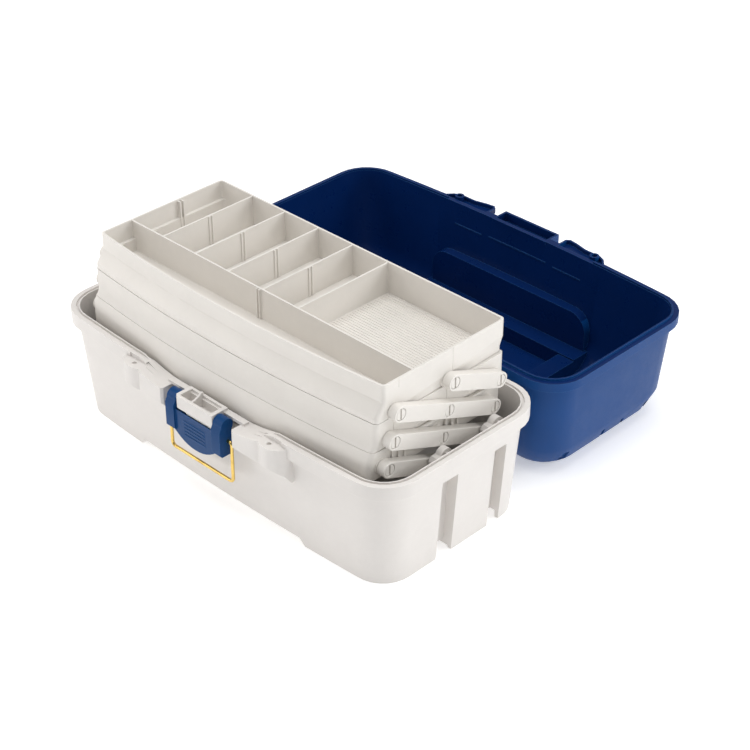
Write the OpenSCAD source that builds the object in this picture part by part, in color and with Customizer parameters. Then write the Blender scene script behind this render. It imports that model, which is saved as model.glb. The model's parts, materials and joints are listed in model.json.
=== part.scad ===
// Three-tray case: drafted tub, domed lid on a rear pin hinge, a stack of cantilever
// trays carried by parallel arms, a front draw latch with a wire bail and a folding handle.
// +X runs along the length, -Y is the latch side, +Y the hinge side, +Z up.
// The origin is the middle of the underside of the tub. The lid lies open behind the tub.

/* [Case] */
// Length over the rim flanges, mm
case_length = 439; // [434:1:446]
// Height of the parting plane above the underside, mm
rim_height = 114; // [113:0.5:115]
// Thickness of the tub and lid floor, mm
floor_thickness = 3.2; // [2.4:0.1:4]
// Outward bow of the front wall at the rim, mm
front_bow = 6.5; // [5:0.5:7]

/* [Trays] */
// Thickness of the tray walls, mm
tray_wall = 2; // [1.6:0.1:2.4]
// Thickness of the compartment partitions, mm
partition_wall = 1.6; // [1.2:0.1:2]
// Height of the top tray, mm
top_tray_height = 33.6; // [32:0.2:34]
// Spacing of the narrow compartments of the top tray, mm
compartment_pitch = 45.4; // [42:0.2:47]

/* [Arms] */
// Distance between neighbouring pivots on one tray, mm
pivot_spacing = 65.8; // [64:0.2:67]
// Height step from one row of pivots to the next, mm
pivot_step = 25; // [24.6:0.1:25.4]
// Width of an arm, mm
arm_width = 15; // [14:0.5:17.5]
// Diameter of the pivot studs, mm
stud_diameter = 8; // [7:0.5:8.5]
// Radial clearance between a stud and an arm, mm
running_clearance = 0.07; // [0.04:0.01:0.1]

/* [Latch] */
// Diameter of the bail wire, mm
wire_diameter = 3.2; // [2.8:0.1:3.4]
// Distance from the bail pivot to the middle of its bar, mm
bail_reach = 42.4; // [39:0.2:43]
// Diameter of the lever pins, mm
lever_pin_diameter = 4; // [3.5:0.1:4.4]

/* [Handle and hinge] */
// Diameter of the handle grip, mm
grip_diameter = 12; // [10:0.5:12]
// Diameter of the hinge pins, mm
hinge_pin_diameter = 3; // [2.6:0.1:3.2]
// Thickness of a hinge knuckle, measured from the pin axis, mm
knuckle_radius = 4; // [3.4:0.1:4]

/* [Hidden] */
$fn = 48;
half = case_length / 2;
hinge_y = 109.3;
drop = pivot_step;
lean = 6.5;
run = pivot_spacing - lean;
arm_length = sqrt(run * run + drop * drop);
arm_tilt = atan2(drop, run);
top_pivot_y = -54.8;
top_pivot_z = 162.7;
arm_inner = half - 34.9;
arm_outer = arm_inner + 8.8;
tray_half = half - 35.7;
first_partition = -137.7;
stud_r = stud_diameter / 2;
low_pivots = [top_pivot_y + pivot_spacing - 3 * lean, top_pivot_y + 2 * pivot_spacing - 3 * lean];
low_pivot_z = top_pivot_z - 3 * drop;
top_rim = 190.8;
top_base = top_rim - top_tray_height;
mid_rim = top_base - 0.4;
mid_base = 129.6;
low_rim = mid_base - 0.4;
low_base = 101.8;
latch_y = -110;
latch_z = 102;
bail_z = 86;
wire_r = wire_diameter / 2;
leg_x = 41.3;
lid_rim = rim_height - 0.2;
catch_x = 35.5;
flute_top = 85.6;
seat_depth = 5;
peg_x = 90;
peg_y = -109.3;
handle_y = -24.4;
handle_z = 9;
grip_y = -76.5;
grip_z = 6.2;
blue = [0.13, 0.25, 0.5];
cream = [0.88, 0.86, 0.8];
steel = [0.7, 0.71, 0.73];
brass = [0.83, 0.66, 0.32];

// Points of an arc.
function arc(x, y, r, a, b) = [for (i = [0 : 7])
    [x + r * cos(a + (b - a) * i / 7), y + r * sin(a + (b - a) * i / 7)]];

// Outline with rounded corners, a bowed front edge and its own half length at the rear and front.
function outline(rear_x, front_x, rear_y, front_y, bow, rear_r, front_r) = concat(
    arc(rear_x - rear_r, rear_y - rear_r, rear_r, 0, 90),
    arc(-rear_x + rear_r, rear_y - rear_r, rear_r, 90, 180),
    arc(-front_x + front_r, front_y + front_r, front_r, 180, 270),
    [for (i = [1 : 9]) let (t = -1 + i / 5) [t * (front_x - front_r), front_y - bow * (1 - t * t)]],
    arc(front_x - front_r, front_y + front_r, front_r, 270, 360));

module slab(points, low, high) {
    translate([0, 0, low])
        linear_extrude(high - low)
            polygon(points);
}

module rod(x0, x1, y, z, r) {
    translate([x0, y, z])
        rotate([0, 90, 0])
            cylinder(r = r, h = x1 - x0);
}

// A length of rod on both ends of the case.
module rods(x0, x1, y, z, r) {
    rod(x0, x1, y, z, r);
    rod(-x1, -x0, y, z, r);
}

module block(x0, x1, y0, y1, z0, z1) {
    translate([x0, y0, z0])
        cube([x1 - x0, y1 - y0, z1 - z0]);
}

module blocks(x0, x1, y0, y1, z0, z1) {
    block(x0, x1, y0, y1, z0, z1);
    block(-x1, -x0, y0, y1, z0, z1);
}

// A profile in Y and Z swept along X.
module swept(points, x0, x1) {
    translate([x0, 0, 0])
        rotate([90, 0, 90])
            linear_extrude(x1 - x0)
                polygon(points);
}

// A profile in X and Z swept along Y.
module pushed(points, y0, y1) {
    translate([0, y1, 0])
        rotate([90, 0, 0])
            linear_extrude(y1 - y0)
                polygon(points);
}

// Turns a shape drawn over the tub into its place on the open lid.
module over_lid() {
    translate([0, 2 * hinge_y, 0])
        mirror([0, 1, 0])
            children();
}

// Rim outlines shared by the tub and the lid.
rim_edge = outline(half, half, 103, -101, front_bow, 36, 38);
skirt_inside = outline(half - 2.4, half - 2.4, 100.6, -98.6, front_bow, 34, 36);
wall_edge = outline(half - 6, half - 6, 97.5, -96, front_bow - 0.5, 32, 34);

module tub_outside() {
    hull() {
        slab(outline(half - 13.3, half - 13.3, 92.5, -88.5, 5, 30, 32), 0, 0.1);
        slab(wall_edge, 100, rim_height);
    }
}

module tub_cavity() {
    hull() {
        slab(outline(half - 16.5, half - 16.5, 89.5, -85.5, 5, 27, 29), 7 + floor_thickness, 12);
        slab(outline(half - 8.3, half - 8.3, 95.2, -92.7, 5.5, 29.7, 30.7), rim_height, rim_height + 1);
    }
}

// Upright flute in an end wall. Its back carries the bracket of a lower pivot inside.
module flute(y0, y1, grow) {
    points = [[half + 8, -1 - grow], [half - 23.5 - grow, -1 - grow], [half - 19 - grow, flute_top + grow],
        [half + 8, flute_top + grow]];
    translate([0, y1 + grow, 0])
        rotate([90, 0, 0])
            linear_extrude(y1 - y0 + 2 * grow)
                polygon(points);
}

module flutes(grow) {
    flute(-23.5, -3.7, grow);
    flute(43, 58.5, grow);
    mirror([1, 0, 0]) {
        flute(-23.5, -3.7, grow);
        flute(43, 58.5, grow);
    }
}

// Block beside the latch, under the landing for a peg of the lid.
module side_block() {
    plan = [[46, -94], [46, -113], [48, -115], [76, -115], [80, -113.4], [85, -116], [96, -116],
        [104, -111], [108, -103], [108, -94]];
    crest = [[44, 70], [44, 104.4], [52, 104.4], [66, 106.4], [80, 109.4], [110, 109.4], [110, 70]];
    brow = [[-94, 73], [-101, 73], [-108, 82], [-117, 89], [-117, 112], [-94, 112]];
    intersection() {
        slab(plan, 70, 112);
        pushed(crest, -118, -94);
        swept(brow, 44, 110);
    }
}

module latch_block() {
    block(-50.5, 50.5, -102.6, -96.6, 84, 107);
    difference() {
        slab([[-24.5, -98], [-24.5, -115], [-22.5, -117], [24.5, -117], [24.5, -98]], 96.5, 109.6);
        block(-20.5, 20.5, -114.2, -100.8, 99, 111);
    }
    // Cross rib with a swept-up top.
    swept([[-114.4, 98], [-114.4, 108.6], [-110, 109], [-105.6, 111], [-102.6, 113.2],
        [-100.4, 113.2], [-99.4, 98]], -7, -5);
}

// Bracket on an end wall that holds the outer end of a lower pivot stud.
module bracket(y, z) {
    face = arm_outer + 1.4;
    front_lobe = [[y - 14.4, z - 6], [y - 14.4, z + 12.5], [y - 11, z + 16], [y - 2, z + 16],
        [y - 2, z - 6]];
    difference() {
        union() {
            rods(face, half - 8.8, y, z, 8);
            blocks(face, half - 12, y - 1.5, y + 1.5, 64, z);
            blocks(face, face + 6.5, y - 6.5, y + 8.5, z - 6, z + 13);
            rods(face, face + 6.5, y + 1, z + 13, 7.5);
            blocks(face + 6, half - 9.4, y - 0.3, y + 2.3, z - 4, z + 17);
            for (x = [-face - 7, face])
                swept(front_lobe, x, x + 7);
        }
        rods(face - 1, face + 1.5, y + 1, z + 13, 2.4);
    }
}

// Dip in the top edge of the front wall, down to the latch.
module front_dip() {
    pushed([[-90, 114.1], [-66, 106.5], [-52, 100], [-51, 95], [51, 95], [52, 100], [66, 106.5],
        [90, 114.1], [90, 116], [-90, 116]], -125, -90);
}

// Groove along the rim that takes the lid's ridge.
module rim_groove() {
    difference() {
        slab(outline(half - 4.4, half - 4.4, 98.7, -96.6, front_bow, 33, 35),
            rim_height - 2.4, rim_height + 1);
        slab(outline(half - 7.1, half - 7.1, 96.3, -93.8, 5.6, 30.8, 32),
            rim_height - 3, rim_height + 2);
    }
}

module base_tub() {
    color(cream)
        difference() {
            union() {
                difference() {
                    union() {
                        tub_outside();
                        difference() {
                            slab(rim_edge, 100, rim_height);
                            slab(skirt_inside, 99, rim_height - 3);
                        }
                    }
                    difference() {
                        tub_cavity();
                        intersection() {
                            flutes(2.6);
                            block(-half, half, -70, 90, 0, 90);
                        }
                    }
                    slab(outline(half - 17.5, half - 17.5, 88.5, -84.5, 5, 27, 29), -1, 7);
                    front_dip();
                    rim_groove();
                    pushed([[-113, -1], [-106, 7], [106, 7], [113, -1]], -110, -78);
                    pushed([[-113, -1], [-106, 7], [106, 7], [113, -1]], 80, 110);
                }
                // Ribs under the floor.
                block(-half + 14, half - 14, -1.5, 1.5, 0, 7.5);
                block(-1.5, 1.5, -60, 60, 0, 7.5);
                side_block();
                mirror([1, 0, 0])
                    side_block();
                latch_block();
                for (y = low_pivots)
                    bracket(y, low_pivot_z);
                // Hinge knuckles.
                for (x = [-134, -110, -86, 86, 110, 134]) {
                    rod(x - 5.7, x + 5.7, hinge_y, rim_height, knuckle_radius);
                    block(x - 5.7, x + 5.7, 101, hinge_y, rim_height - 4, rim_height - 0.4);
                }
            }
            flutes(0);
            // Landings for the lid's pegs, each with a small dimple.
            blocks(70, 101, -120, -104.2, 109.4, rim_height + 2);
            for (x = [-peg_x, peg_x])
                translate([x, peg_y, 107.4])
                    cylinder(d = 4.4, h = 5);
            // Openings under the ledge behind the lever's ears.
            blocks(27, 47, -106, -94, 95.5, 103.8);
            for (y = low_pivots)
                rods(arm_outer, arm_outer + seat_depth, y, low_pivot_z, stud_r);
            rod(-24.6, -18, latch_y, latch_z, lever_pin_diameter / 2);
            rod(18, 24.6, latch_y, latch_z, lever_pin_diameter / 2);
            for (x = [-110, 110])
                rod(x - 32, x + 32, hinge_y, rim_height, hinge_pin_diameter / 2);
        }
}

module lid_outside() {
    hull() {
        slab(outline(half - 35.5, half - 35.5, 69.5, -66, 5, 28, 30), 0, 0.1);
        slab(outline(half - 27.5, half - 27.5, 77, -75, 5, 30, 32), 3, 3.1);
        slab(outline(half - 18.5, half - 18.5, 85, -84, 5, 32, 34), 12, 12.1);
        slab(outline(half - 11.5, half - 11.5, 92, -91, 5, 32, 34), 30, 30.1);
        slab(wall_edge, 104, lid_rim);
    }
}

module lid_cavity() {
    hull() {
        slab(outline(half - 38, half - 38, 67, -63.5, 5, 26, 28), floor_thickness, floor_thickness + 0.1);
        slab(outline(half - 29.8, half - 29.8, 74.6, -72.6, 5, 28, 30), 6, 6.1);
        slab(outline(half - 21.3, half - 21.3, 82.2, -81.2, 5, 30, 32), 14, 14.1);
        slab(outline(half - 14.5, half - 14.5, 89, -88, 5, 30, 32), 31, 31.1);
        slab(outline(half - 6.9, half - 6.9, 96.5, -94.1, 5.6, 31, 32), rim_height, rim_height + 4);
    }
}

// Thinner body of the lid at the bottom of its foot notches.
module lid_inset() {
    hull() {
        slab(outline(half - 37.5, half - 37.5, 67.5, -64, 5, 26, 28), 1.8, 1.9);
        slab(outline(half - 29.5, half - 29.5, 75, -73, 5, 28, 30), 4.8, 4.9);
        slab(outline(half - 20.5, half - 20.5, 83, -82, 5, 30, 32), 13, 13.1);
        slab(outline(half - 13.2, half - 13.2, 90, -89, 5, 30, 32), 32, 32.1);
    }
}

// Notches across the lower edge of the lid's ends, between its standing feet.
module foot_notches() {
    difference() {
        union() {
            blocks(half - 40, half, 59, 68, -1, 22);
            blocks(half - 40, half, 5, 10, -1, 20);
            blocks(half - 40, half, -24, -20, -1, 18);
            blocks(half - 40, half, -60, -54, -1, 22);
        }
        lid_inset();
    }
}

// Arched front recess for the folded handle, larger by a margin.
module grip_recess(grow, depth) {
    points = concat([[101 + grow, -1], [101 + grow, 37]],
        arc(81 + grow, 37 + grow, 20, 0, 90),
        arc(-81 - grow, 37 + grow, 20, 90, 180),
        [[-101 - grow, 37], [-101 - grow, -1]]);
    pushed(points, -112, depth);
}

module grip_channels(grow) {
    blocks(90 - grow, 104 + grow, -88, -15 + grow, -1, 15.6 + grow);
    block(-104 - grow, 104 + grow, -88, -68.5 + grow, -1, 17.5 + grow);
}

// Fine ledge along the inside of the lid's front wall.
module lid_ledge(x0, x1, z) {
    intersection() {
        difference() {
            slab(outline(half - 8, half - 8, 94, -94, 5.5, 31, 32), z, z + 1.2);
            slab(outline(half - 9.6, half - 9.6, 92, -91.7, 5.5, 30, 31), z - 1, z + 2);
        }
        block(x0, x1, -112, -80, z - 1, z + 2);
    }
}

// Ridge on the lid's rim, left out over the dip in the tub's front wall.
module sealing_ridge() {
    difference() {
        slab(outline(half - 5.1, half - 5.1, 98.1, -95.9, front_bow, 32.4, 34.3), 110, rim_height + 1.9);
        slab(outline(half - 6.7, half - 6.7, 96.7, -94.4, 5.8, 31, 32.5), 112, rim_height + 3);
        block(-97, 97, -125, -90, lid_rim, rim_height + 3);
    }
}

module lid_shell() {
    tab = [[47, -96], [47, -117], [51, -120.3], [60, -119], [74, -115.6], [92, -115.6], [100, -112],
        [107, -104], [107, -96]];
    well = [[49, -103.4], [49, -116], [51.8, -118.2], [60, -117], [74, -113.6], [91.6, -113.6],
        [98.8, -110.4], [104, -104.4], [104, -103.4]];
    color(blue)
        over_lid()
            difference() {
                union() {
                    difference() {
                        union() {
                            lid_outside();
                            difference() {
                                slab(rim_edge, 105, lid_rim);
                                slab(skirt_inside, 104, rim_height - 3);
                            }
                            sealing_ridge();
                            slab(tab, 108, lid_rim);
                            mirror([1, 0, 0])
                                slab(tab, 108, lid_rim);
                        }
                        difference() {
                            lid_cavity();
                            intersection() {
                                union() {
                                    grip_recess(3, -84);
                                    grip_channels(3);
                                }
                                block(-120, 120, -112, 0, 0, 70);
                            }
                        }
                        block(-catch_x, catch_x, -125, -102.6, 102, rim_height + 1);
                        slab(well, 109.6, rim_height);
                        mirror([1, 0, 0])
                            slab(well, 109.6, rim_height);
                        slab(outline(half - 40, half - 40, 60, -56, 5, 24, 26), -1, 0.8);
                    }
                    // Catch for the bail.
                    difference() {
                        block(-catch_x, catch_x, -120.5, -99, 102, lid_rim);
                        block(-catch_x + 2.2, catch_x - 2.2, -118, -103, 104.4, rim_height + 1);
                    }
                    block(-25, 25, -120.5, -118.3, 99.6, 102.1);
                    lid_ledge(-84, -48, 89.6);
                    lid_ledge(-38, 38, 91);
                    lid_ledge(48, 84, 89.6);
                    // Hollow pegs.
                    for (x = [-peg_x, peg_x])
                        translate([x, peg_y, 109])
                            difference() {
                                cylinder(d = 9.6, h = 7);
                                translate([0, 0, 2])
                                    cylinder(d = 6, h = 7);
                            }
                    // Hinge knuckles.
                    for (x = [-122, -98, 98, 122]) {
                        rod(x - 5.7, x + 5.7, hinge_y, rim_height, knuckle_radius);
                        block(x - 5.7, x + 5.7, 101, hinge_y, rim_height - 4, rim_height - 0.4);
                    }
                }
                grip_recess(0, -87);
                grip_channels(0);
                foot_notches();
                rods(87.8, 106.2, handle_y, handle_z, 2.5);
                for (x = [-110, 110])
                    rod(x - 32, x + 32, hinge_y, rim_height, hinge_pin_diameter / 2 + 0.06);
            }
}

module hinge_pins() {
    color(steel)
        for (x = [-110, 110])
            rod(x - 29.6, x + 29.6, hinge_y, rim_height, hinge_pin_diameter / 2);
}

module carry_handle() {
    color(blue)
        over_lid()
            difference() {
                union() {
                    rods(91.6, 102.4, handle_y, handle_z, 5.4);
                    for (x = [-102.4, 91.6])
                        swept([[handle_y, handle_z - 4.8], [handle_y, handle_z + 4.8], [grip_y, grip_z + 5],
                            [grip_y, grip_z - 5]], x, x + 10.8);
                    rod(-102.4, 102.4, grip_y, grip_z, grip_diameter / 2);
                }
                rods(90, 105, handle_y, handle_z, 2.5 + running_clearance);
            }
}

module handle_pins() {
    color(steel)
        over_lid()
            rods(88, 106, handle_y, handle_z, 2.5);
}

module latch_lever() {
    tongue = concat([[-28, 96], [-28, 72], [-24, 69]],
        [for (i = [1 : 9]) [-25 + 5 * i, 61.2 + 8.6 * pow(abs(-25 + 5 * i) / 25, 2.2)]],
        [[24, 69], [28, 72], [28, 96]]);
    tongue_side = [[latch_y - 8, 60], [latch_y - 8, 94.2], [latch_y - 7.2, 94.2], [latch_y - 3, 91.2],
        [latch_y - 3, 60]];
    ear_side = [[latch_y - 7, latch_z], [latch_y - 9.4, latch_z - 4], [latch_y - 9.4, 73.5],
        [latch_y - 7, 71], [latch_y + 2, 71], [latch_y + 5, 77], [latch_y + 5, latch_z]];
    color(blue)
        difference() {
            union() {
                rods(25.2, 36.4, latch_y, latch_z, 7);
                blocks(25.2, 36.4, latch_y - 7, latch_y + 5, 76, latch_z);
                for (x = [-36.4, 25.2])
                    swept(ear_side, x, x + 11.2);
                intersection() {
                    pushed(tongue, latch_y - 7.4, latch_y - 3.4);
                    swept(tongue_side, -30, 30);
                }
                for (z = [71, 74.6, 78.2, 81.8, 85.4])
                    block(-14, 14, latch_y - 7.9, latch_y - 7, z, z + 1.3);
            }
            rods(25, 33.2, latch_y, latch_z, lever_pin_diameter / 2 + running_clearance);
            rods(30, 37, latch_y, bail_z, wire_r + running_clearance);
        }
}

module latch_pins() {
    color(steel)
        rods(20.6, 33, latch_y, latch_z, lever_pin_diameter / 2);
}

module elbow(r) {
    rotate_extrude(angle = 90)
        translate([r, 0])
            circle(r = wire_r);
}

module half_bail() {
    foot = bail_z - bail_reach;
    rod(30.4, leg_x - 3, latch_y, bail_z, wire_r);
    translate([leg_x - 3, latch_y, bail_z - 3])
        rotate([90, 0, 0])
            elbow(3);
    translate([leg_x, latch_y, foot + 4.4])
        cylinder(r = wire_r, h = bail_z - 3 - foot - 4.4);
    translate([leg_x - 4.4, latch_y, foot + 4.4])
        rotate([90, 90, 0])
            elbow(4.4);
    rod(-0.01, leg_x - 4.4, latch_y, foot, wire_r);
}

module latch_bail() {
    color(brass) {
        half_bail();
        mirror([1, 0, 0])
            half_bail();
    }
}

// Place of a tray's pivot: row 0 is the top tray, and pivot 0 is the front one.
function pivot_y(row, i) = top_pivot_y - row * lean + i * pivot_spacing;
function pivot_z(row) = top_pivot_z - row * drop;

// Bosses that carry the pivot studs, cut off level with the underside of the tray.
module stud_seats(row, count, base) {
    intersection() {
        for (i = [0 : count - 1]) {
            rods(tray_half - 3, arm_inner - 0.25, pivot_y(row, i), pivot_z(row), 8);
            rods(tray_half - 5.6, tray_half - 2.9, pivot_y(row, i), pivot_z(row), stud_r + 1.6);
        }
        block(-half, half, -90, 90, base, base + 30);
    }
}

module stud_holes(row, count) {
    for (i = [0 : count - 1])
        rods(tray_half - 4.4, arm_inner + 1, pivot_y(row, i), pivot_z(row), stud_r);
}

// Fine upright parting seam on the outer faces of a tray's end walls.
module seam(y, low, high) {
    blocks(tray_half - 0.35, tray_half + 1, y, y + 0.5, low, high);
}

// Cross partition centred on x.
module partition(x, y0, y1, low, high) {
    block(x - partition_wall / 2, x + partition_wall / 2, y0, y1, low, high);
}

// A short divider guide: two ribs with a slot between them.
module guide(x, y, low, high) {
    block(x - 1.9, x + 1.9, y - 2.6, y - 1.2, low, high);
    block(x - 1.9, x + 1.9, y + 1.2, y + 2.6, low, high);
}

module tray_top() {
    wide = outline(tray_half, tray_half, 83.6, -66.3, 9.5, 4, 4);
    foot = outline(tray_half - 3.3, tray_half + 0.4, 83.6, -75, 10, 4, 5);
    inner = tray_half - tray_wall;
    wide_in = outline(inner, inner, 83.6 - tray_wall, -66.3 + tray_wall, 9.5, 3, 3);
    foot_in = outline(inner - 3.3, inner - 3.6, 83.6 - tray_wall, -66.3 + tray_wall, 9.5, 3, 3);
    low = top_base + 2;
    color(cream)
        difference() {
            union() {
                difference() {
                    union() {
                        slab(wide, 174, top_rim);
                        hull() {
                            slab(wide, 174, 174.1);
                            slab(foot, 161.9, 162);
                        }
                        slab(foot, top_base, 162);
                        stud_seats(0, 2, top_base);
                    }
                    slab(wide_in, 172, top_rim + 1);
                    slab(foot_in, low, 173);
                }
                // Long divider and the narrow compartments behind it.
                block(-tray_half + 5, tray_half - 5, -30.2, -28.6, low - 0.1, top_rim - 0.6);
                blocks(tray_half - 5.1, tray_half - 1, -30.2, -28.6, 172, top_rim - 0.6);
                for (i = [0 : 4])
                    partition(first_partition + i * compartment_pitch, -29, 82.6, low - 0.1, top_rim - 0.6);
                for (i = [0 : 3])
                    guide(first_partition + i * compartment_pitch, 28, low - 0.1, top_rim - 1.2);
                block(-7.8, -6.6, -32, -28.6, low - 0.1, top_rim - 1.2);
                block(-4.6, -3.4, -32, -28.6, low - 0.1, top_rim - 1.2);
                block(-tray_half + 1, -tray_half + 6.4, 25.4, 26.8, low - 0.1, top_rim - 1.2);
                block(-tray_half + 1, -tray_half + 6.4, 29.2, 30.6, low - 0.1, top_rim - 1.2);
                // Fine ribs on the floor of the large compartment.
                for (i = [0 : 32])
                    block(46.5, tray_half - 7, -26 + i * 3.3, -25 + i * 3.3, low - 0.1, low + 0.6);
            }
            stud_holes(0, 2);
            seam(17, 168, top_rim + 1);
            seam(-48.5, 182, top_rim + 1);
        }
}

module tray_middle() {
    wide = outline(tray_half, tray_half + 0.4, 83.6, -75.6, 10, 4, 5);
    foot = outline(tray_half - 3.3, tray_half - 0.4, 83.6, -79, 10, 4, 5);
    inner = tray_half - 3.3 - tray_wall;
    inside = outline(inner, inner, 83.6 - tray_wall, -75.6 + tray_wall, 9.7, 3, 4);
    low = mid_base + 2;
    color(cream)
        difference() {
            union() {
                difference() {
                    union() {
                        slab(wide, 135, mid_rim);
                        hull() {
                            slab(wide, 135, 135.1);
                            slab(foot, mid_base, mid_base + 0.1);
                        }
                        stud_seats(1, 3, mid_base);
                    }
                    slab(inside, low, mid_rim + 1);
                }
                block(-tray_half + 4, tray_half - 4, -2.8, -1.2, low - 0.1, mid_rim - 0.6);
                for (x = [-120, -60, 0, 60, 120])
                    partition(x, -2, 82.6, low - 0.1, mid_rim - 0.6);
                for (x = [-60, 60])
                    partition(x, -82, -2, low - 0.1, mid_rim - 0.6);
                for (x = [-120, -60, 0, 60, 120])
                    guide(x, 40, low - 0.1, mid_rim - 1.2);
            }
            stud_holes(1, 3);
            seam(9.7, 141, 153);
            seam(-55, 143, 151);
        }
}

// Small cage with two windows on the end walls.
module cage(y, z) {
    difference() {
        blocks(tray_half - 4, arm_inner - 0.4, y, y + 16.6, z, z + 15.4);
        for (step = [1.6, 9.2])
            blocks(tray_half - 1.8, arm_inner, y + step, y + step + 5.8, z + 1.6, z + 13.8);
    }
}

module tray_bottom() {
    rim = outline(tray_half, tray_half + 0.4, 83.6, -79.4, 10, 4, 5);
    wide = outline(tray_half - 2.8, tray_half - 0.6, 83.6, -83, 10, 4, 5);
    inner = tray_half - 3.3 - tray_wall;
    inside = outline(inner, inner, 83.6 - tray_wall, -79.4 + tray_wall, 9.7, 3, 4);
    low = low_base + 2;
    color(cream)
        difference() {
            union() {
                difference() {
                    union() {
                        hull() {
                            slab(rim, low_rim - 0.1, low_rim);
                            slab(wide, 122, 122.1);
                        }
                        slab(wide, low_base, 122);
                        stud_seats(2, 3, low_base);
                    }
                    slab(inside, low, low_rim + 1);
                }
                cage(9.6, 108);
                cage(-56.2, 108);
                block(-tray_half + 4, tray_half - 4, -8.8, -7.2, low - 0.1, low_rim - 0.6);
                for (x = [-90, 0, 90])
                    partition(x, -8, 82.6, low - 0.1, low_rim - 0.6);
                block(-0.8, 0.8, -86, -8, low - 0.1, low_rim - 0.6);
            }
            stud_holes(2, 3);
        }
}

// A push-in stud with a split head, head outwards along +X.
module stud(x, y, z) {
    translate([x, y, z])
        rotate([0, 90, 0])
            difference() {
                union() {
                    cylinder(r = stud_r, h = arm_outer - x - 0.3);
                    translate([0, 0, arm_outer - x - 1.5])
                        cylinder(r = stud_r + 1.2, h = 1.2);
                }
                translate([-6, -0.8, arm_outer - x - 4])
                    cube([12, 1.6, 5]);
            }
}

module tray_studs(row, count) {
    for (i = [0 : count - 1]) {
        stud(tray_half - 4.3, pivot_y(row, i), pivot_z(row));
        mirror([1, 0, 0])
            stud(tray_half - 4.3, pivot_y(row, i), pivot_z(row));
    }
}

module studs_top() {
    color(cream)
        tray_studs(0, 2);
}

module studs_middle() {
    color(cream)
        tray_studs(1, 3);
}

module studs_bottom() {
    color(cream)
        tray_studs(2, 3);
}

module base_stud(y, z) {
    rod(arm_inner + 0.3, arm_inner + 1.5, y, z, stud_r + 1.2);
    rod(arm_inner + 1.4, arm_outer + seat_depth - 0.2, y, z, stud_r);
}

module studs_base() {
    color(cream)
        for (y = low_pivots) {
            base_stud(y, low_pivot_z);
            mirror([1, 0, 0])
                base_stud(y, low_pivot_z);
        }
}

// An arm on the right-hand end. It starts at its upper front pivot and falls towards the rear.
module arm(row, place, count, seated) {
    span = (count - 1) * arm_length;
    edge = arm_width / 2 - 2.4;
    translate([arm_inner, pivot_y(row, place), pivot_z(row)])
        rotate([-arm_tilt, 0, 0])
            difference() {
                union() {
                    block(0, 8.8, 0, span, -arm_width / 2, arm_width / 2);
                    rod(0, 8.8, 0, 0, arm_width / 2);
                    rod(0, 8.8, span, 0, arm_width / 2);
                }
                for (i = [0 : count - 1]) {
                    rod(-1, 12, i * arm_length, 0, stud_r + running_clearance);
                    if (i < count - seated)
                        rod(6.9, 12, i * arm_length, 0, stud_r + 1.6);
                    else
                        rod(-1, 1.9, i * arm_length, 0, stud_r + 1.6);
                }
                // Moulded hollow on the inner face between the pivots.
                for (i = [0 : count - 2])
                    block(-1, 5.4, i * arm_length + 11, (i + 1) * arm_length - 11, -edge, edge);
            }
}

module arm_a_right() {
    color(cream)
        arm(0, 1, 2, 0);
}

module arm_a_left() {
    mirror([1, 0, 0])
        arm_a_right();
}

module arm_b_right() {
    color(cream)
        arm(0, 0, 3, 0);
}

module arm_b_left() {
    mirror([1, 0, 0])
        arm_b_right();
}

module arm_c_right() {
    color(cream)
        arm(1, 0, 3, 1);
}

module arm_c_left() {
    mirror([1, 0, 0])
        arm_c_right();
}

module arm_d_right() {
    color(cream)
        arm(2, 0, 2, 1);
}

module arm_d_left() {
    mirror([1, 0, 0])
        arm_d_right();
}

base_tub();
lid_shell();
hinge_pins();
carry_handle();
handle_pins();
latch_lever();
latch_pins();
latch_bail();
tray_top();
tray_middle();
tray_bottom();
studs_top();
studs_middle();
studs_bottom();
studs_base();
arm_a_left();
arm_a_right();
arm_b_left();
arm_b_right();
arm_c_left();
arm_c_right();
arm_d_left();
arm_d_right();
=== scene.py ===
"""The looks of the three-tray tackle box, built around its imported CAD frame. Units are metres."""
import json
import math

import bmesh
import bpy
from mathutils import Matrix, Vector

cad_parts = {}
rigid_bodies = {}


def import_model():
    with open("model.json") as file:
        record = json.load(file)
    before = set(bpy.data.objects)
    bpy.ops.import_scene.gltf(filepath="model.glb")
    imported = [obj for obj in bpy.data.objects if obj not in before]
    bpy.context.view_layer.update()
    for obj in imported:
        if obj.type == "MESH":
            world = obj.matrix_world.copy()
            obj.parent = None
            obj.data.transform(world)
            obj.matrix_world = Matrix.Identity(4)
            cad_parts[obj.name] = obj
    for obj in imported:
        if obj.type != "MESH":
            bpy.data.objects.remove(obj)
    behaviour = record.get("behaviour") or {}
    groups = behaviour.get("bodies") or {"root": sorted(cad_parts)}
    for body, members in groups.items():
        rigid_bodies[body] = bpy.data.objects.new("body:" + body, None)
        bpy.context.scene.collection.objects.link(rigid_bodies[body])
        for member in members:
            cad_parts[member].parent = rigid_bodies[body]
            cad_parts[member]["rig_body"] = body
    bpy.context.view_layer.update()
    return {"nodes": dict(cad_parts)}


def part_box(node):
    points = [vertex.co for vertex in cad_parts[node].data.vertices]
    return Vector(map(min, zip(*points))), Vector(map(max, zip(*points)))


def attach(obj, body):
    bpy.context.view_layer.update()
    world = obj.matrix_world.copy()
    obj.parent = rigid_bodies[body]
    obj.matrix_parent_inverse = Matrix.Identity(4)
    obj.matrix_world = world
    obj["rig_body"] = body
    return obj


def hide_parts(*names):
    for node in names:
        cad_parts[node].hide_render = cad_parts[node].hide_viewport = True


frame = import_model()
nodes = frame["nodes"]
MM = 0.001
WHITE = (1, 1, 1, 1)

# ---------------------------------------------------------------- materials

PLASTIC_IOR = 1.49
# Reach of the paler edge, partly wear and partly a painted edge highlight.
WEAR_AND_HIGHLIGHT_REACH = 0.9 * MM
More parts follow.
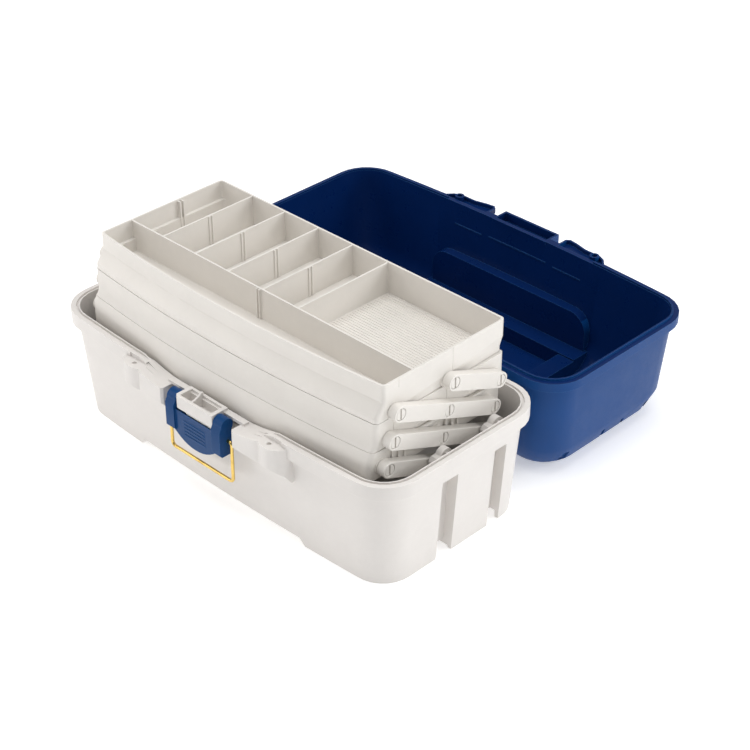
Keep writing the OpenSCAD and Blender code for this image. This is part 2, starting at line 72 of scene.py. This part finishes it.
# Noise scale and bump height of the fine spark-eroded grain.
GRAIN_SCALE = 2600.0
GRAIN_HEIGHT = 0.08 * MM
# Bump height of the slight waviness of a moulded wall.
WAVE_HEIGHT = 0.6 * MM


class Nodes:
    """A short way to write a shader: each call adds a node or two and links their inputs."""

    def __init__(self, name):
        self.material = bpy.data.materials.new(name)
        self.material.use_nodes = True
        self.tree = self.material.node_tree
        self.shader = self.tree.nodes["Principled BSDF"]

    def link(self, source, target):
        self.tree.links.new(source, target)

    def add(self, kind, settings=None, **inputs):
        """One node. An input is named by its socket, or by i and the socket's index."""
        made = self.tree.nodes.new("ShaderNode" + kind)
        for key, value in (settings or {}).items():
            setattr(made, key, value)
        for key, value in inputs.items():
            by_index = key[0] == "i" and key[1:].isdigit()
            socket = made.inputs[int(key[1:]) if by_index else key]
            if hasattr(value, "is_output"):
                self.link(value, socket)
            else:
                socket.default_value = value
        return made

    def place(self):
        return self.add("TexCoord").outputs["Object"]

    def noise(self, scale, detail=2.0, roughness=0.5):
        made = self.add("TexNoise", Vector=self.place(), Scale=scale, Detail=detail, Roughness=roughness)
        return made.outputs["Fac"]

    def ramp(self, value, low, high, low_value, high_value):
        made = self.add(
            "MapRange", {"clamp": True}, i0=value, i1=low, i2=high, i3=low_value, i4=high_value
        )
        return made.outputs["Result"]

    def mix(self, share, low, high):
        made = self.add("Mix", {"data_type": "RGBA"}, i0=share, i6=low, i7=high)
        return made.outputs[2]

    def edges(self, distance):
        """0 on flat faces and 1 on edges, where the bevelled normal leaves the true one."""
        bevel = self.add("Bevel", {"samples": 4}, Radius=distance)
        true = self.add("NewGeometry").outputs["Normal"]
        dot = self.add("VectorMath", {"operation": "DOT_PRODUCT"}, i0=bevel.outputs[0], i1=true)
        return self.ramp(dot.outputs["Value"], 0.8, 0.995, 1.0, 0.0)

    def bump(self, height, strength, distance, below=None):
        made = self.add("Bump", Height=height, Strength=strength, Distance=distance)
        if below is not None:
            self.link(below, made.inputs["Normal"])
        return made.outputs["Normal"]

    def finish(self, color, roughness, normal=None, **fixed):
        """Links the surface up. Each fixed value goes on the shader's own socket."""
        self.link(color, self.shader.inputs["Base Color"])
        self.link(roughness, self.shader.inputs["Roughness"])
        if normal is not None:
            self.link(normal, self.shader.inputs["Normal"])
        for key, value in fixed.items():
            self.shader.inputs[key.replace("_", " ")].default_value = value
        return self.material


def shade(color, factor):
    """A colour made darker or paler by a factor."""
    return [min(1, c * factor) for c in color[:3]] + [1]


def moulded_plastic(name, main, wear_and_edge_highlight, rough, grain, shine=0.5):
    """Injection-moulded plastic: cloudy tone, fine spark-eroded grain, and polished, paler edges that
    are partly wear and partly a painted highlight.
    """
    n = Nodes(name)
    cloud = n.noise(14.0, 4.0, 0.6)
    mottled = n.noise(160.0, 3.0, 0.55)
    wear_and_highlight_edges = n.edges(WEAR_AND_HIGHLIGHT_REACH)
    tone = n.mix(n.ramp(cloud, 0.3, 0.7, 0.0, 1.0), main, shade(main, 0.955))
    tone = n.mix(n.ramp(mottled, 0.45, 0.8, 0.0, 0.35), tone, shade(main, 1.03))
    # paler edges: partly wear, partly a painted edge highlight
    tone = n.mix(n.ramp(wear_and_highlight_edges, 0.0, 1.0, 0.0, 0.55), tone, wear_and_edge_highlight)
    scuffs = n.ramp(n.noise(55.0, 6.0, 0.7), 0.35, 0.75, rough - 0.05, rough + 0.07)
    grain_height = n.noise(GRAIN_SCALE, 1.0, 0.5)
    wave = n.noise(38.0, 2.0, 0.5)
    normal = n.bump(wave, 0.12, WAVE_HEIGHT)
    normal = n.bump(grain_height, grain, GRAIN_HEIGHT, normal)
    return n.finish(tone, scuffs, normal, IOR=PLASTIC_IOR, Specular_IOR_Level=shine)


def tint(r, g, b):
    """A linear colour from display values out of 255."""
    return [((c / 255 + 0.055) / 1.055) ** 2.4 for c in (r, g, b)] + [1]


def plastic_with_painted_inner_shade(name, outside, inner_color_with_painted_shade, wear_and_edge_highlight, centre):
    """Blue plastic with a grained, paler outside, and polished inner faces painted a deeper blue as
    painted shade.

    A face is outside where its normal points away from a centre above the opening.
    """
    n = Nodes(name)
    outward = n.add("VectorMath", {"operation": "SUBTRACT"}, i0=n.place(), i1=centre).outputs["Vector"]
    normal = n.add("TexCoord").outputs["Normal"]
    facing = n.add("VectorMath", {"operation": "DOT_PRODUCT"}, i0=outward, i1=normal).outputs["Value"]
    # share is 1 on outer faces and 0 on inner faces, which get the darker colour that is painted shade
    share = n.ramp(facing, -0.004, 0.006, 0.0, 1.0)
    cloud = n.ramp(n.noise(12.0, 4.0, 0.6), 0.3, 0.7, 0.0, 1.0)
    outer = n.mix(cloud, outside, shade(outside, 0.9))
    # inner faces: a darker blue that is painted shade of the lid's hollow
    painted_shade_inner_tone = n.mix(cloud, inner_color_with_painted_shade, shade(inner_color_with_painted_shade, 0.85))
    tone = n.mix(share, painted_shade_inner_tone, outer)
    # paler edges: partly wear, partly a painted edge highlight
    tone = n.mix(n.ramp(n.edges(WEAR_AND_HIGHLIGHT_REACH), 0.0, 1.0, 0.0, 0.5), tone, wear_and_edge_highlight)
    scuffs = n.noise(60.0, 6.0, 0.7)
    rough_out = n.ramp(scuffs, 0.35, 0.75, 0.4, 0.5)
    rough_in = n.ramp(scuffs, 0.35, 0.75, 0.26, 0.38)
    blend = n.add("Mix", {"data_type": "FLOAT"}, i0=share, i2=rough_in, i3=rough_out).outputs[0]
    fine = n.noise(GRAIN_SCALE, 1.0, 0.5)
    grain = n.add("Math", {"operation": "MULTIPLY"}, i0=fine, i1=share).outputs[0]
    normal = n.bump(n.noise(30.0, 2.0, 0.5), 0.1, WAVE_HEIGHT)
    normal = n.bump(grain, 0.4, GRAIN_HEIGHT, normal)
    return n.finish(tone, blend, normal, IOR=PLASTIC_IOR, Specular_IOR_Level=0.2)


def drawn_metal(name, color, dark, rough):
    """Polished wire with faint draw marks and slight tarnish."""
    n = Nodes(name)
    marks = n.noise(900.0, 2.0, 0.5)
    tarnish = n.noise(70.0, 4.0, 0.6)
    tone = n.mix(n.ramp(tarnish, 0.45, 0.8, 0.0, 0.6), color, dark)
    roughness = n.ramp(n.noise(240.0, 3.0, 0.6), 0.3, 0.7, rough, rough + 0.1)
    return n.finish(tone, roughness, n.bump(marks, 0.12, 0.05 * MM), Metallic=1.0)


lid_low, lid_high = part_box("lid_shell")
lid_middle = (lid_low + lid_high) / 2
above_lid = (lid_middle.x, lid_middle.y, lid_high.z + 40 * MM)
# the second colour of each moulded plastic is its paler edge: wear and a painted edge highlight
tub_plastic = moulded_plastic("tub_plastic", tint(229, 225, 221), tint(242, 240, 237), 0.42, 0.35)
tray_plastic = moulded_plastic("tray_plastic", tint(234, 230, 224), tint(244, 242, 238), 0.38, 0.25)
# the lid's second colour is the painted shade of its inner faces; the third is its paler edge, partly
# wear and partly a painted edge highlight
lid_plastic = plastic_with_painted_inner_shade(
    "lid_plastic", tint(4, 66, 130), tint(2, 38, 94), tint(60, 110, 165), above_lid
)
lever_plastic = moulded_plastic("lever_plastic", tint(6, 64, 118), tint(64, 110, 165), 0.38, 0.3, 0.2)
brass = drawn_metal("brass", tint(224, 192, 112), tint(150, 112, 48), 0.06)
steel = drawn_metal("steel", tint(196, 198, 202), tint(140, 142, 146), 0.25)

looks = {
    "base_tub": tub_plastic,
    "lid_shell": lid_plastic,
    "carry_handle": lid_plastic,
    "latch_lever": lever_plastic,
    "latch_bail": brass,
    "hinge_pins": steel,
    "handle_pins": steel,
    "latch_pins": steel,
}

# ---------------------------------------------------------------- pieces

# Edge radius of each piece in millimetres. The wire and the pins keep their own round shape.
USUAL_RADIUS = 0.45
edge_radius = {"base_tub": 0.7, "lid_shell": 0.6, "latch_lever": 0.9, "carry_handle": 1.2}

WELD_DISTANCE = 1e-6
# Faces closer in angle than FLAT are one face, and an edge over SHARP stays an edge.
FLAT = math.radians(0.6)
SHARP = math.radians(33)


def moulding(name, radius):
    """A copy of a CAD node with its flat faces made whole, its edges rounded and its curves smooth."""
    node = nodes[name]
    shape = bmesh.new()
    shape.from_mesh(node.data)
    bmesh.ops.remove_doubles(shape, verts=shape.verts, dist=WELD_DISTANCE)
    bmesh.ops.dissolve_limit(
        shape, angle_limit=FLAT, verts=shape.verts, edges=shape.edges, delimit={"NORMAL"}
    )
    for edge in shape.edges:
        edge.smooth = len(edge.link_faces) == 2 and edge.calc_face_angle(0) < SHARP
    for face in shape.faces:
        face.smooth = True
    mesh = bpy.data.meshes.new(name + "_moulding")
    shape.to_mesh(mesh)
    shape.free()
    made = bpy.data.objects.new(name + "_moulding", mesh)
    bpy.context.scene.collection.objects.link(made)
    mesh.materials.append(looks.get(name, tray_plastic))
    if radius:
        soften = made.modifiers.new("rounded_edges", "BEVEL")
        soften.width = radius * MM
        soften.segments = 3
        soften.limit_method = "ANGLE"
        soften.angle_limit = SHARP
        soften.use_clamp_overlap = True
        soften.harden_normals = True
    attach(made, node["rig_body"])
    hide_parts(name)


for name in nodes:
    wire = name.endswith("pins") or name == "latch_bail"
    moulding(name, 0 if wire else edge_radius.get(name, USUAL_RADIUS))

# ---------------------------------------------------------------- stage, light and camera

FLOOR_REACH = 6.0
FLOOR_GLOW = 0.4
WORLD_STRENGTH = 0.36
LIGHT_AIM = (0, 0.1, 0.08)
NEUTRAL = (1, 1, 1)
WARM = (1.0, 0.96, 0.93)
# Name, place, width and length, watts and colour of each lamp.
LIGHTS = [
    ("overhead", (0.1, 0.1, 2.2), (1.8, 1.8), 29, NEUTRAL),
    ("from_right", (1.9, 1.5, 1.1), (1.4, 1.2), 22, NEUTRAL),
    ("from_left", (-1.1, -0.8, 0.7), (1.0, 0.9), 5.5, WARM),
]
CAMERA_PLACE = (1.05522, -0.95948, 1.02547)
CAMERA_DIRECTION = (-0.58630, 0.59436, -0.55045)
CAMERA_ANGLE = math.radians(22.89)


def floor():
    mesh = bpy.data.meshes.new("floor")
    corners = [(x * FLOOR_REACH, y * FLOOR_REACH, 0) for x, y in ((-1, -1), (1, -1), (1, 1), (-1, 1))]
    mesh.from_pydata(corners, [], [(0, 1, 2, 3)])
    made = bpy.data.objects.new("floor", mesh)
    bpy.context.scene.collection.objects.link(made)
    n = Nodes("floor_paint")
    cloud = n.ramp(n.noise(3.0), 0.3, 0.7, 0.0, 1.0)
    tone = n.mix(cloud, (0.93, 0.93, 0.93, 1), (0.96, 0.96, 0.96, 1))
    rough = n.ramp(n.noise(40.0), 0.3, 0.7, 0.55, 0.65)
    mesh.materials.append(n.finish(tone, rough, Emission_Color=WHITE, Emission_Strength=FLOOR_GLOW))


def area_light(name, place, size, power, color):
    """A rectangular lamp turned towards the middle of the box."""
    lamp = bpy.data.lights.new(name, "AREA")
    lamp.shape = "RECTANGLE"
    lamp.size, lamp.size_y = size
    lamp.energy = power
    lamp.color = color
    made = bpy.data.objects.new(name, lamp)
    made.location = place
    made.rotation_mode = "QUATERNION"
    made.rotation_quaternion = (Vector(LIGHT_AIM) - Vector(place)).to_track_quat("-Z", "Y")
    bpy.context.scene.collection.objects.link(made)


floor()
for light in LIGHTS:
    area_light(*light)
bpy.context.scene.view_settings.view_transform = "Standard"

world = bpy.data.worlds.new("studio")
bpy.context.scene.world = world
world.use_nodes = True
background = world.node_tree.nodes["Background"]
background.inputs["Color"].default_value = WHITE
background.inputs["Strength"].default_value = WORLD_STRENGTH

camera = bpy.data.objects.new("camera", bpy.data.cameras.new("camera"))
bpy.context.scene.collection.objects.link(camera)
camera.data.sensor_width = 36
camera.data.angle = CAMERA_ANGLE
camera.location = CAMERA_PLACE
camera.rotation_mode = "QUATERNION"
camera.rotation_quaternion = Vector(CAMERA_DIRECTION).to_track_quat("-Z", "Y")
bpy.context.scene.camera = camera
